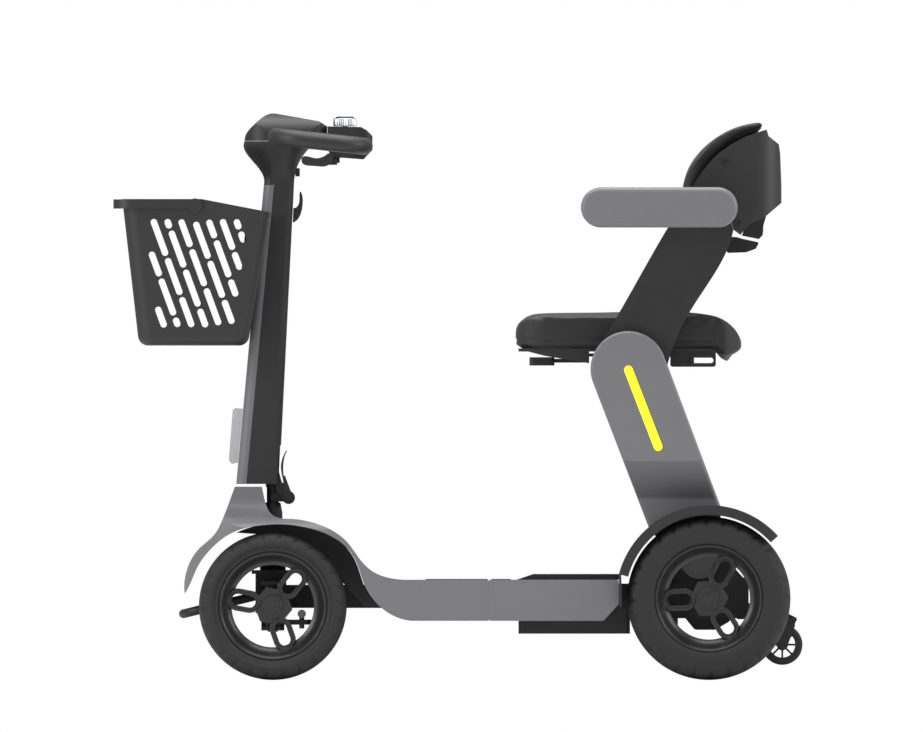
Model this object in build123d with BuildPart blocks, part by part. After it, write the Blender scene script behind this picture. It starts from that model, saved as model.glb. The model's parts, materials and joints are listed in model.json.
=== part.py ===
from build123d import *
import math
import os

os.makedirs("parts", exist_ok=True)

# Four-wheeled travel mobility scooter. Millimetres, +Z up, front towards -X, rider's left is -Y.
# The origin is on the floor, under the middle of the overall box.

# Wheels
front_tyre_radius = 115.0
rear_tyre_radius = 127.0
front_tyre_width = 60.0
rear_tyre_width = 64.0
front_axle_x = -288.0
rear_axle_x = 390.0
wheel_plane_y = 205.0
rim_lip_radius = 83.5
hub_bore_radius = 10.05
stub_radius = 10.0
front_spoke_angle = 49.5
rear_spoke_angle = 62.8
anti_tip_radius = 31.5
anti_tip_x = 504.2
anti_tip_y = 95.0

# Steering
steer_x = front_axle_x
kingpin_y = 169.0
steer_arm = 45.0
stem_radius = 12.0
running_gap = 0.05
tiller_pivot_x = -263.4
tiller_pivot_z = 283.6

# Deck and covers
deck_top = 156.0
deck_bottom = 92.0
deck_half_width = 212.0
deck_seam_x = 47.6
deck_rear_x = 250.0
cover_wall = 4.0

# Tiller column
column_bottom_z = 304.8
column_top_z = 770.0

# Tower, seat and backrest
tower_pivot_x = 376.0
tower_pivot_z = 187.0
seat_pivot_x = 265.0
seat_pivot_z = 483.6
seat_tube_radius = 16.0
base_tube_radius = 12.0
grey_arm_inner_y = 215.0
grey_arm_outer_y = 240.0
grey_arm_radius = 59.0
low_arm_inner_y = 138.0
low_arm_outer_y = 163.0
black_arm_inner_y = 188.0
black_arm_outer_y = 212.0
seat_half_width = 180.0
armrest_inner_y = 245.0
armrest_outer_y = 290.0
armrest_pivot_x = 403.6
armrest_pivot_z = 735.0
armrest_radius = 31.4
armrest_front_x = 222.4


# A plane that faces the rider's left at distance y from the middle. Its x is +X and its y is +Z.
def side_plane(y):
    return Plane.XZ.offset(-y)


# A closed flat face with straight edges.
def flat_face(plane, points):
    with BuildSketch(plane) as profile:
        with BuildLine():
            Polyline(*points, close=True)
        make_face()
    return profile.sketch


# The points of a line moved sideways, to the right of its direction when distance is positive.
def shifted(points, distance):
    moved = []
    for index, point in enumerate(points):
        before = points[max(index - 1, 0)]
        after = points[min(index + 1, len(points) - 1)]
        along_x = after[0] - before[0]
        along_y = after[1] - before[1]
        size = math.hypot(along_x, along_y)
        moved.append((point[0] + distance * along_y / size, point[1] - distance * along_x / size))
    return moved


# ---------------------------------------------------------------- front cover and deck
nose_line = [(-425, 134), (-424, 162), (-402, 205), (-379, 226), (-367, 248), (-356, 276), (-347, 300.7)]
fender_line = [
    (-305, 300.7), (-299, 274), (-290, 258), (-276, 251.5), (-258, 250.5), (-232, 246.5), (-198, 234),
    (-171, 213), (-152, 187), (-133, 169), (-108, 159), (-72, deck_top),
]
arch_line = [
    (-72, deck_bottom), (-94, 97), (-120, 113), (-146, 149), (-156, 178), (-169, 201), (-198, 224),
    (-240, 238), (-271, 242), (-302, 241), (-353, 228), (-385, 203), (-405, 176), (-415, 153), (-425, 134),
]
flank_line = [
    (33, 301.5), (35, 288), (42, 270), (58, 258), (90, 253), (150, 252.5), (202, 250), (226, 243), (236, 228),
]
plan_line = [
    (-427, 0), (-426, 80), (-415, 150), (-390, 200), (-350, 228), (-300, 236), (-220, 236),
    (-160, 230), (-110, 218), (-72, deck_half_width), (0, deck_half_width),
]

with BuildSketch(side_plane(250)) as cover_side:
    with BuildLine():
        nose = Spline(*nose_line)
        fender = Spline(*fender_line)
        arch = Spline(*arch_line)
        Line(nose @ 1, fender @ 0)
        Polyline(fender @ 1, (deck_seam_x, deck_top), (deck_seam_x, deck_bottom), arch @ 0)
    make_face()

with BuildSketch(side_plane(250)) as cover_cavity_side:
    with BuildLine():
        nose = Spline(*shifted(nose_line, cover_wall)[:-1], (-343.5, 296.5))
        fender = Spline((-308, 296.5), *shifted(fender_line, cover_wall)[1:])
        Line(nose @ 1, fender @ 0)
        Polyline(fender @ 1, (60, deck_top - cover_wall), (60, 60), (nose_line[0][0] + cover_wall, 60),
            nose @ 0)
    make_face()


# The covers' outline seen from the front, made smaller by inset on every side.
def front_view(inset):
    right = shifted(flank_line, inset)
    left = [(-y, z) for y, z in reversed(right)]
    with BuildSketch(Plane.YZ.offset(-440)) as profile:
        with BuildLine():
            right_flank = Spline(*right)
            left_flank = Spline(*left)
            Line(left_flank @ 1, right_flank @ 0)
            Polyline(right_flank @ 1, (236 - inset, 50), (inset - 236, 50), left_flank @ 0)
        make_face()
    return profile.sketch


# The covers' outline seen from above, made smaller by inset on every side.
def plan_view(inset):
    right = shifted(plan_line, inset)
    right[0] = (plan_line[0][0] + inset, 0)
    left = [(x, -y) for x, y in reversed(right[1:])]
    with BuildSketch(Plane.XY.offset(50)) as profile:
        with BuildLine():
            edge = Spline(*left, *right)
            Polyline(edge @ 1, (270, deck_half_width - inset), (270, inset - deck_half_width), edge @ 0)
        make_face()
    return profile.sketch


with BuildPart() as cover_cavity:
    extrude(cover_cavity_side.sketch, amount=500)
    extrude(front_view(cover_wall), amount=520, mode=Mode.INTERSECT)
    extrude(plan_view(cover_wall), amount=260, mode=Mode.INTERSECT)

with BuildPart() as front_cover:
    extrude(cover_side.sketch, amount=500)
    extrude(front_view(0), amount=520, mode=Mode.INTERSECT)
    extrude(plan_view(0), amount=260, mode=Mode.INTERSECT)
    add(cover_cavity.part, mode=Mode.SUBTRACT)
    with Locations((steer_x, 0, 290)):
        Cylinder(19.3, 110, mode=Mode.SUBTRACT)
front_cover.part.label = "front_cover"
export_step(front_cover.part, "parts/front_cover.step")

with BuildPart() as rear_deck_cover:
    with BuildSketch(side_plane(deck_half_width)):
        with BuildLine():
            FilletPolyline(
                (deck_seam_x, deck_bottom), (deck_seam_x, deck_top), (deck_rear_x, deck_top),
                (deck_rear_x, 118), (226, deck_bottom), radius=3, close=True,
            )
        make_face()
    extrude(amount=2 * deck_half_width)
    with BuildSketch(side_plane(deck_half_width - cover_wall)):
        with Locations((deck_rear_x / 2 - cover_wall / 2, deck_top - cover_wall - 50)):
            Rectangle(deck_rear_x - cover_wall, 100)
    extrude(amount=2 * (deck_half_width - cover_wall), mode=Mode.SUBTRACT)
    with Locations((deck_rear_x, 0, 120)):
        Box(20, 312, 62, mode=Mode.SUBTRACT)
rear_deck_cover.part.label = "rear_deck_cover"
export_step(rear_deck_cover.part, "parts/rear_deck_cover.step")

with BuildPart() as deck_mat:
    with BuildSketch(Plane.XY.offset(deck_top)):
        with Locations((-2, 0)):
            RectangleRounded(96, 340, 18)
    extrude(amount=1.2)
    with BuildSketch(Plane.XY.offset(deck_top)):
        with Locations((67, 0)):
            RectangleRounded(30, 340, 10)
    extrude(amount=1.2)
deck_mat.part.label = "deck_mat"
export_step(deck_mat.part, "parts/deck_mat.step")

lid_profile = [(91, deck_top), (117, 165), (253, 165), (253, 161), (250.3, deck_top)]
with BuildPart() as battery_cover:
    extrude(flat_face(side_plane(150), lid_profile), amount=300)
    fillet(battery_cover.edges().filter_by(GeomType.LINE).group_by(Axis.Z)[-1], 1.5)
battery_cover.part.label = "battery_cover"
export_step(battery_cover.part, "parts/battery_cover.step")

with BuildPart() as battery_tray:
    with Locations((180.75, 0, 106)):
        Box(173.5, 236, 68)
    fillet(battery_tray.edges().filter_by(Axis.Z), 6)
    with Locations((180.75, 0, 108)):
        Box(167.5, 230, 66, mode=Mode.SUBTRACT)
battery_tray.part.label = "battery_tray"
export_step(battery_tray.part, "parts/battery_tray.step")

with BuildPart() as battery_pack:
    with Locations((180.75, 0, 106)):
        Box(160, 222, 62)
    fillet(battery_pack.edges().filter_by(Axis.Z), 8)
battery_pack.part.label = "battery_pack"
export_step(battery_pack.part, "parts/battery_pack.step")

with BuildPart() as arch_liners:
    with BuildSketch(side_plane(-100)) as liner_side:
        with BuildLine():
            top = Spline((-345, 229), (-302, 242), (-271, 243.5), (-240, 240), (-199, 226), (-171, 203),
                         (-157, 179), (-147, 149), (-121, 115))
            low = Polyline(top @ 1, (-145, 113), (-178, 150), (-205, 180), (-250, 212), (-300, 226), top @ 0)
        make_face()
    extrude(amount=4)
    mirror(about=Plane.XZ)
arch_liners.part.label = "arch_liners"
export_step(arch_liners.part, "parts/arch_liners.step")

# ---------------------------------------------------------------- frame
with BuildPart() as chassis_frame:
    with Locations((steer_x, 0, 177)):
        Cylinder(20, 138)
    with Locations((-178, 0, 130)):
        Box(220, 60, 36)
    with Locations((-178, 0, 130)):
        Box(190, 54, 30, mode=Mode.SUBTRACT)
    with Locations((steer_x, 0, 126)):
        Box(36, 292, 28)
    with Locations((-65, 0, 131)):
        Box(30, 300, 38)
    with Locations((-290, 0, 168)):
        Box(62, 196, 6)
    for side in (-1, 1):
        with Locations((-291, side * 95, 137)):
            Box(48, 6, 66)
        with Locations((steer_x, side * 141, 115)):
            Box(36, 10, 76)
        with Locations((steer_x, side * 163, 150), (steer_x, side * 163, 80)):
            Box(36, 42, 6)
        with Locations((140, side * 137.5, 131)):
            Box(410, 25, 38)
        with BuildSketch(side_plane(side * 119 + 7)):
            with BuildLine():
                FilletPolyline(
                    (330, 96), (330, 152), (350, 205), (402, 205), (452, 150), (452, 96),
                    radius=12, close=True,
                )
            make_face()
        extrude(amount=14)
    with Locations((277, 0, 146)):
        Box(14, 260, 8)
    with Locations((429, 0, 106)):
        Box(10, 240, 20)
    for side in (-1, 1):
        with Locations((steer_x, side * kingpin_y, 115)):
            Cylinder(8 + running_gap, 90, mode=Mode.SUBTRACT)
        with Locations(Location((rear_axle_x, side * 118, rear_tyre_radius), (90, 0, 0))):
            Cylinder(24, 20, mode=Mode.SUBTRACT)
        with Locations(Location((tower_pivot_x, side * 118, tower_pivot_z), (90, 0, 0))):
            Cylinder(base_tube_radius + running_gap, 20, mode=Mode.SUBTRACT)
    with Locations((steer_x, 0, 177)):
        Cylinder(stem_radius + running_gap, 200, mode=Mode.SUBTRACT)
chassis_frame.part.label = "chassis_frame"
export_step(chassis_frame.part, "parts/chassis_frame.step")

with BuildPart() as front_bumper:
    with BuildLine() as bumper_line:
        FilletPolyline(
            (-313.5, -60, 131), (-427, -60, 103), (-427, 60, 103), (-313.5, 60, 131), radius=28,
        )
    with BuildSketch(Plane(origin=bumper_line.line @ 0, z_dir=bumper_line.line % 0)):
        Circle(7)
    sweep()
front_bumper.part.label = "front_bumper"
export_step(front_bumper.part, "parts/front_bumper.step")

with BuildPart() as rear_fenders:
    with BuildSketch(side_plane(-168)):
        with BuildLine():
            outer = CenterArc((rear_axle_x, rear_tyre_radius), 145, 42, 123)
            inner = CenterArc((rear_axle_x, rear_tyre_radius), 141, 42, 123)
            Line(outer @ 0, inner @ 0)
            Polyline(outer @ 1, (250.6, 142), (250.6, 114), (254.6, 114), (254.6, 142), inner @ 1)
        make_face()
    extrude(amount=72)
    for y, thickness in ((-168, 3), (-237, 3)):
        with BuildSketch(side_plane(y)):
            with BuildLine():
                outer = CenterArc((rear_axle_x, rear_tyre_radius), 143, 42, 123)
                inner = CenterArc((rear_axle_x, rear_tyre_radius), 129.7, 42, 123)
                Line(outer @ 0, inner @ 0)
                Line(outer @ 1, inner @ 1)
            make_face()
        extrude(amount=thickness)
    mirror(about=Plane.XZ)
rear_fenders.part.label = "rear_fenders"
export_step(rear_fenders.part, "parts/rear_fenders.step")

with BuildPart() as transaxle:
    with BuildSketch(side_plane(-38)):
        with BuildLine():
            FilletPolyline(
                (342, 110), (368, 78), (400, 78), (424, 92), (424, 140), (410, 152), (352, 152), (342, 140),
                radius=8, close=True,
            )
        make_face()
    extrude(amount=-76)
    with Locations(Location((rear_axle_x, 0, rear_tyre_radius), (90, 0, 0))):
        Cylinder(20, 216)
        Cylinder(stub_radius, 2 * (wheel_plane_y + 11))
transaxle.part.label = "transaxle"
export_step(transaxle.part, "parts/transaxle.step")

with BuildPart() as drive_motor:
    with Locations(Location((314, 0, 112), (0, 90, 0))):
        Cylinder(29, 56)
    fillet(drive_motor.edges().group_by(Axis.X)[0], 4)
drive_motor.part.label = "drive_motor"
export_step(drive_motor.part, "parts/drive_motor.step")

with BuildPart() as motor_controller:
    with Locations((310, 75, 118)):
        Box(46, 60, 40)
    fillet(motor_controller.edges().filter_by(Axis.Z), 4)
motor_controller.part.label = "motor_controller"
export_step(motor_controller.part, "parts/motor_controller.step")

with BuildPart() as anti_tip_brackets:
    with Locations((442, -anti_tip_y, 127)):
        Cylinder(8, 65)
    with BuildSketch(side_plane(-anti_tip_y + 4)):
        with BuildLine():
            FilletPolyline((436, 96), (436, 124), (512, 104), (528, 96), (524, 87.5), (500, 90),
                radius=3, close=True)
        make_face()
    extrude(amount=8)
    with Locations((512, -anti_tip_y, 94)):
        Box(24, 36, 8)
    for y in (-anti_tip_y + 18, -anti_tip_y - 14):
        with BuildSketch(side_plane(y)):
            with BuildLine():
                FilletPolyline((500, 98), (524, 98), (524, 84), (511, 49), (497, 49), radius=4, close=True)
            make_face()
        extrude(amount=4)
    with Locations(Location((anti_tip_x, -anti_tip_y, anti_tip_radius + 23.5), (90, 0, 0))):
        Cylinder(5, 36)
    mirror(about=Plane.XZ)
anti_tip_brackets.part.label = "anti_tip_brackets"
export_step(anti_tip_brackets.part, "parts/anti_tip_brackets.step")

# ---------------------------------------------------------------- wheels
# A plane through a wheel's axle. Its x is +Y, its y is +Z, so a half section revolves about the axle.
def axle_plane(x, y, z):
    return Plane(origin=(x, y, z), x_dir=(0, 1, 0), z_dir=(1, 0, 0))


# A tyre for the rider's left, with a round tread and a flat seat on the rim.
def make_tyre(axle_x, radius, width):
    half = width / 2
    shoulder = radius - 16
    with BuildPart() as tyre:
        with BuildSketch(axle_plane(axle_x, -wheel_plane_y, radius)):
            with BuildLine():
                Polyline((-half, shoulder), (-half, 90), (-27.5, 83.8), (-22.3, 83.8), (-22.3, 80),
                    (22.3, 80),
                         (22.3, 83.8), (27.5, 83.8), (half, 90), (half, shoulder))
                ThreePointArc((half, shoulder), (0, radius), (-half, shoulder))
            make_face()
        revolve(axis=Axis((axle_x, 0, radius), (0, 1, 0)))
    return tyre.part


# A cast rim for the rider's left with three looped spokes and a hub. Its outer face is towards -Y.
def make_rim(axle_x, radius, first_angle, cap_radius):
    with BuildPart() as rim:
        with BuildSketch(axle_plane(axle_x, -wheel_plane_y, radius)):
            with BuildLine():
                Polyline(
                    (-26.4, rim_lip_radius), (-26.4, 80.5), (-24.5, 78.4), (-17, 74), (-11, 68.5), (-8.8, 64),
                    (8.8, 64), (11, 68.5), (17, 74), (24.5, 78.4), (26.4, 80.5), (26.4, rim_lip_radius),
                    (22.6, rim_lip_radius), (22.6, 79.9), (12, 79.9), (6, 68), (-6, 68),
                    (-12, 79.9), (-22.6, 79.9), (-22.6, rim_lip_radius), close=True,
                )
            make_face()
        revolve(axis=Axis((axle_x, 0, radius), (0, 1, 0)))
        with BuildSketch(Plane(origin=(axle_x, -wheel_plane_y + 2, radius), x_dir=(1, 0, 0),
            z_dir=(0, -1, 0))):
            with PolarLocations(46, 3, first_angle):
                SlotCenterToCenter(18, 35)
            RegularPolygon(31, 6, rotation=first_angle)
        extrude(amount=13)
        with BuildSketch(Plane(origin=(axle_x, -wheel_plane_y + 2, radius), x_dir=(1, 0, 0),
            z_dir=(0, -1, 0))):
            with PolarLocations(46, 3, first_angle):
                SlotCenterToCenter(19, 18)
        extrude(amount=13, mode=Mode.SUBTRACT)
        with Locations(Location((axle_x, -wheel_plane_y, radius), (90, 0, 0))):
            Cylinder(17, 30)
        with Locations(Location((axle_x, -wheel_plane_y - 15, radius), (90, 0, 0))):
            Cylinder(cap_radius, 4)
        with Locations(Location((axle_x, -wheel_plane_y + 2, radius), (90, 0, 0))):
            Cylinder(hub_bore_radius, 28, mode=Mode.SUBTRACT)
    return rim.part


front_rim_part = make_rim(front_axle_x, front_tyre_radius, front_spoke_angle, 15.6)
front_tyre_part = make_tyre(front_axle_x, front_tyre_radius, front_tyre_width)
rear_rim_part = make_rim(rear_axle_x, rear_tyre_radius, rear_spoke_angle, 8)
rear_tyre_part = make_tyre(rear_axle_x, rear_tyre_radius, rear_tyre_width)
for name, piece in (
    ("front_rim", front_rim_part), ("front_tyre", front_tyre_part),
    ("rear_rim", rear_rim_part), ("rear_tyre", rear_tyre_part),
):
    with BuildPart() as left_piece:
        add(piece)
    with BuildPart() as right_piece:
        add(mirror(piece, about=Plane.XZ))
    left_piece.part.label = name + "_left"
    export_step(left_piece.part, "parts/" + name + "_left.step")
    right_piece.part.label = name + "_right"
    export_step(right_piece.part, "parts/" + name + "_right.step")

with BuildPart() as anti_tip_wheel_left:
    centre = (anti_tip_x, -anti_tip_y, anti_tip_radius + 23.5)
    with BuildSketch(axle_plane(*centre)):
        Trapezoid(22, 9, 75)
    with Locations(Location(centre, (90, 0, 0))):
        Cylinder(anti_tip_radius, 22)
    fillet(anti_tip_wheel_left.edges(), 5)
    with Locations(Location(centre, (90, 0, 0))):
        Cylinder(20, 22, mode=Mode.SUBTRACT)
        Cylinder(9, 22)
    with BuildSketch(Plane(origin=centre, x_dir=(1, 0, 0), z_dir=(0, -1, 0))):
        with PolarLocations(14.5, 8):
            Rectangle(14, 3)
    extrude(amount=5, both=True)
    with Locations(Location(centre, (90, 0, 0))):
        Cylinder(5 + running_gap, 22, mode=Mode.SUBTRACT)
anti_tip_wheel_left.part.label = "anti_tip_wheel_left"
export_step(anti_tip_wheel_left.part, "parts/anti_tip_wheel_left.step")

with BuildPart() as anti_tip_wheel_right:
    add(mirror(anti_tip_wheel_left.part, about=Plane.XZ))
anti_tip_wheel_right.part.label = "anti_tip_wheel_right"
export_step(anti_tip_wheel_right.part, "parts/anti_tip_wheel_right.step")

# ---------------------------------------------------------------- steering
with BuildPart() as knuckle_left:
    with Locations((steer_x, -kingpin_y, 115)):
        Cylinder(11, 62)
        Cylinder(8, 80)
    with Locations(Location((steer_x, (-kingpin_y - wheel_plane_y - 10) / 2, front_tyre_radius), (90, 0, 0))):
        Cylinder(stub_radius, wheel_plane_y + 10 - kingpin_y)
    with Locations(Location((steer_x, -184.5, front_tyre_radius), (90, 0, 0))):
        Cylinder(14, 9)
    with BuildSketch(Plane.XY.offset(86)):
        with Locations((steer_x + 26, -kingpin_y)):
            SlotCenterToCenter(52, 20)
        with Locations((steer_x + steer_arm + 2.7, -kingpin_y)):
            SlotCenterToCenter(5.6, 10.4, mode=Mode.SUBTRACT)
    extrude(amount=8)
knuckle_left.part.label = "knuckle_left"
export_step(knuckle_left.part, "parts/knuckle_left.step")

with BuildPart() as knuckle_right:
    add(mirror(knuckle_left.part, about=Plane.XZ))
knuckle_right.part.label = "knuckle_right"
export_step(knuckle_right.part, "parts/knuckle_right.step")

with BuildPart() as tie_rod:
    with Locations(Location((steer_x + steer_arm, 0, 103), (90, 0, 0))):
        Cylinder(6.5, 2 * kingpin_y + 14)
    for y in (-kingpin_y, 0, kingpin_y):
        with Locations((steer_x + steer_arm, y, 91)):
            Cylinder(4, 22)
tie_rod.part.label = "tie_rod"
export_step(tie_rod.part, "parts/tie_rod.step")

with BuildPart() as steering_stem:
    with Locations((steer_x, 0, 172)):
        Cylinder(stem_radius, 180)
    with BuildSketch(Plane.XY.offset(86)):
        with Locations((steer_x + 26, 0)):
            SlotCenterToCenter(52, 20)
        with Locations((steer_x + steer_arm + 2.7, 0)):
            SlotCenterToCenter(5.6, 10.4, mode=Mode.SUBTRACT)
    extrude(amount=8)
    with Locations((steer_x, 0, 254)):
        Cylinder(15, 12)
    with Locations((steer_x, 0, 268)):
        Cone(15, 12, 16)
    with Locations((steer_x, 0, 291)):
        Cylinder(9.5, 62)
    with Locations((steer_x, 0, 303)):
        Cylinder(11, 6)
    with Locations((-277, 0, 284)):
        Box(28, 30, 13)
    with Locations(Location((tiller_pivot_x, 0, tiller_pivot_z), (90, 0, 0))):
        Cylinder(10, 32)
        Cylinder(5 + running_gap, 32, mode=Mode.SUBTRACT)
steering_stem.part.label = "steering_stem"
export_step(steering_stem.part, "parts/steering_stem.step")

# ---------------------------------------------------------------- tiller
# A tapered loft between the column's lowest and highest sections, smaller by inset on every side.
def column_loft(inset, front_low, front_high, rear_low, rear_high):
    with BuildPart() as column:
        with BuildSketch(Plane.XY.offset(column_bottom_z)):
            with Locations(((front_low + rear_low) / 2, 0)):
                RectangleRounded(rear_low - front_low - 2 * inset, 64 - 2 * inset, 13 - inset)
        with BuildSketch(Plane.XY.offset(column_top_z)):
            with Locations(((front_high + rear_high) / 2, 0)):
                RectangleRounded(rear_high - front_high - 2 * inset, 52 - 2 * inset, 11 - inset)
        loft()
    return column.part


column_outside = column_loft(0, -345, -302, -278, -255)
column_inside = column_loft(4, -345, -302, -278, -255)
split_plane = Plane(origin=(-329, 0, column_bottom_z), x_dir=(0, 1, 0), z_dir=(465, 0, -43))

with BuildPart() as column_hollow:
    add(column_inside)
    split(bisect_by=split_plane.offset(4), keep=Keep.TOP)

with BuildPart() as tiller_column:
    add(column_outside)
    split(bisect_by=split_plane, keep=Keep.TOP)
    add(column_hollow.part, mode=Mode.SUBTRACT)
    with Locations((-280, 0, 334)):
        Box(44, 48, 62, mode=Mode.SUBTRACT)
tiller_column.part.label = "tiller_column"
export_step(tiller_column.part, "parts/tiller_column.step")

with BuildPart() as tiller_front_trim:
    add(column_outside)
    split(bisect_by=split_plane, keep=Keep.BOTTOM)
    add(column_inside, mode=Mode.SUBTRACT)
tiller_front_trim.part.label = "tiller_front_trim"
export_step(tiller_front_trim.part, "parts/tiller_front_trim.step")

with BuildPart() as hinge_block:
    with Locations((-303, 0, 350)):
        Box(30, 46, 28)
    for side in (-1, 1):
        with BuildSketch(side_plane(side * 20 + 3)):
            with BuildLine():
                Polyline((-318, 336), (-318, 362), (-286, 362), (-280, 330), (-274, 308), (-256, 290),
                    (-272, 277),
                         (-285, 305), close=True)
            make_face()
            with Locations((tiller_pivot_x, tiller_pivot_z)):
                Circle(10)
        extrude(amount=6)
    with Locations(Location((tiller_pivot_x, 0, tiller_pivot_z), (90, 0, 0))):
        Cylinder(5, 56)
hinge_block.part.label = "hinge_block"
export_step(hinge_block.part, "parts/hinge_block.step")

with BuildPart() as fold_lever:
    for side in (-1, 1):
        with BuildSketch(side_plane(side * 25.5 + 1.5)):
            with Locations((tiller_pivot_x, tiller_pivot_z)):
                Circle(8.5)
            with BuildLine():
                Polyline((-270, 288), (-258, 288), (-269, 318), (-273, 318), close=True)
            make_face()
            with Locations((tiller_pivot_x, tiller_pivot_z)):
                Circle(5 + running_gap, mode=Mode.SUBTRACT)
        extrude(amount=3)
    with BuildSketch(side_plane(27)):
        with BuildLine():
            near = Spline((-270.3, 312), (-271.7, 325), (-271.4, 337), (-269.9, 346), (-265.6, 356.5))
            far = Spline((-267, 357), (-271.4, 349.2), (-274.3, 341), (-275.5, 331), (-274, 319),
                (-272.5, 312))
            Line(near @ 1, far @ 0)
            Line(far @ 1, near @ 0)
        make_face()
    extrude(amount=54)
fold_lever.part.label = "fold_lever"
export_step(fold_lever.part, "parts/fold_lever.step")

with BuildPart() as front_lamp:
    lamp_side = [(-342.4, 338), (-352, 336), (-356.5, 342), (-350.5, 420), (-346, 423), (-334.6, 422)]
    extrude(flat_face(side_plane(20), lamp_side), amount=40)
    fillet(front_lamp.edges().filter_by(Axis.Y).group_by(Axis.X)[0], 3)
front_lamp.part.label = "front_lamp"
export_step(front_lamp.part, "parts/front_lamp.step")

with BuildPart() as bag_hook:
    with BuildSketch(side_plane(6)):
        with BuildLine():
            outside = Spline((-257, 711), (-250, 715.5), (-243.6, 728), (-241.4, 742), (-242.6, 755),
                (-244.4, 759.4))
            inside = Spline((-246, 759), (-246.6, 750), (-247.6, 741), (-251, 735.5), (-256.2, 734))
            Line(outside @ 1, inside @ 0)
            Line(inside @ 1, outside @ 0)
        make_face()
    extrude(amount=12)
bag_hook.part.label = "bag_hook"
export_step(bag_hook.part, "parts/bag_hook.step")

# ---------------------------------------------------------------- tiller head
with BuildPart() as head_lower_shell:
    for z, front, rear, half, corner in (
        (column_top_z, -302, -255, 26, 11), (788, -305, -253, 29, 18), (812, -324, -243, 40, 30),
        (838, -332, -220, 53, 38),
    ):
        with BuildSketch(Plane.XY.offset(z)):
            with Locations(((front + rear) / 2, 0)):
                RectangleRounded(rear - front, 2 * half, corner - 0.5)
    loft()
    with Locations((-249.5, 0, 789.5)):
        Box(7, 16, 13)
head_lower_shell.part.label = "head_lower_shell"
export_step(head_lower_shell.part, "parts/head_lower_shell.step")

with BuildPart() as head_upper_shell:
    with BuildSketch(side_plane(53)):
        with BuildLine():
            dome = Spline((-332, 838.3), (-330, 848), (-320, 861), (-308, 872), (-296, 879.5), (-284, 881))
            Polyline(dome @ 1, (-216, 869), (-203.5, 861), (-203.5, 838.3), dome @ 0)
        make_face()
    extrude(amount=106)
    with BuildSketch(Plane.YZ.offset(-340)):
        with BuildLine():
            Polyline((-53, 850), (-53, 838.3), (53, 838.3), (53, 850))
            Bezier((53, 850), (51, 868), (38, 881), (0, 881.2))
            Bezier((0, 881.2), (-38, 881), (-51, 868), (-53, 850))
        make_face()
    extrude(amount=150, mode=Mode.INTERSECT)
    with BuildSketch(Plane.XY.offset(830)):
        with Locations((-264, 0)):
            RectangleRounded(136, 106, 37.5)
    extrude(amount=60, mode=Mode.INTERSECT)
head_upper_shell.part.label = "head_upper_shell"
export_step(head_upper_shell.part, "parts/head_upper_shell.step")

with BuildPart() as control_pod:
    pod_side = [
        (-219.5, 838), (-203, 838), (-203, 861), (-151, 860), (-142, 855), (-133, 846), (-133, 824),
        (-147, 809.5),
        (-179, 812), (-197, 812), (-202, 824), (-219.5, 826),
    ]
    extrude(flat_face(side_plane(52), pod_side), amount=104)
    fillet(control_pod.edges().filter_by(Axis.Z).group_by(Axis.X)[-1], 14)
    with Locations((-176, 0, 855)):
        Cylinder(4.05, 20, mode=Mode.SUBTRACT)
    for y in (-37, 37):
        with Locations((-176, y, 856)):
            Cylinder(5.1, 16, mode=Mode.SUBTRACT)
    with Locations((-190, 0, 815)):
        Cylinder(6 + running_gap, 14, mode=Mode.SUBTRACT)
control_pod.part.label = "control_pod"
export_step(control_pod.part, "parts/control_pod.step")

with BuildPart() as handlebar:
    with BuildLine() as loop_line:
        FilletPolyline(
            (-283, -53.2, 845), (-283, -187, 845), (-146, -187, 830), (-146, -52.2, 830), radius=44,
        )
    with BuildSketch(Plane(origin=loop_line.line @ 0, z_dir=loop_line.line % 0)):
        Circle(13.5)
    sweep()
    mirror(about=Plane.XZ)
handlebar.part.label = "handlebar"
export_step(handlebar.part, "parts/handlebar.step")

with BuildPart() as speed_dial:
    with Locations((-176, 0, 868.7)):
        Cylinder(18, 15)
    fillet(speed_dial.edges().group_by(Axis.Z)[-1], 2)
    with Locations((-176, 0, 856)):
        Cylinder(4, 12)
speed_dial.part.label = "speed_dial"
export_step(speed_dial.part, "parts/speed_dial.step")

for name, y in (("horn_button", -37), ("power_button", 37)):
    with BuildPart() as button:
        with Locations((-176, y, 857.5)):
            Cylinder(5, 9)
        fillet(button.edges().group_by(Axis.Z)[-1], 1)
    button.part.label = name
    export_step(button.part, "parts/" + name + ".step")

with BuildPart() as throttle_lever:
    for side in (-1, 1):
        with BuildSketch(side_plane(side * 78 + 22)):
            with BuildLine():
                under = Spline((-243, 812), (-242, 803.5), (-222, 799.2), (-205, 799.2), (-196, 806),
                    (-194.2, 819))
                over = Spline((-202.5, 819), (-208.5, 814.5), (-222, 811.5), (-235, 814.5), (-240, 814.5))
                Line(under @ 1, over @ 0)
                Line(over @ 1, under @ 0)
            make_face()
        extrude(amount=44)
    with Locations((-195, 0, 805.5)):
        Box(14, 120, 9)
    with Locations((-190, 0, 811)):
        Cylinder(6, 14)
throttle_lever.part.label = "throttle_lever"
export_step(throttle_lever.part, "parts/throttle_lever.step")

# ---------------------------------------------------------------- basket
channel_half = 36.0
basket_wall = 3.0
basket_bottom_z = 520.0
basket_top_z = 748.0
basket_half_width = 125.0
slot_width = 9.9
slot_reach = 50.6
slot_pitch = 64.7
slot_column_step = 21.5
slot_tilt = math.radians(20.1)
slot_drops = (19.3, 30.8)
slot_top_z = 712.0
slot_bottom_z = 553.0


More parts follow.
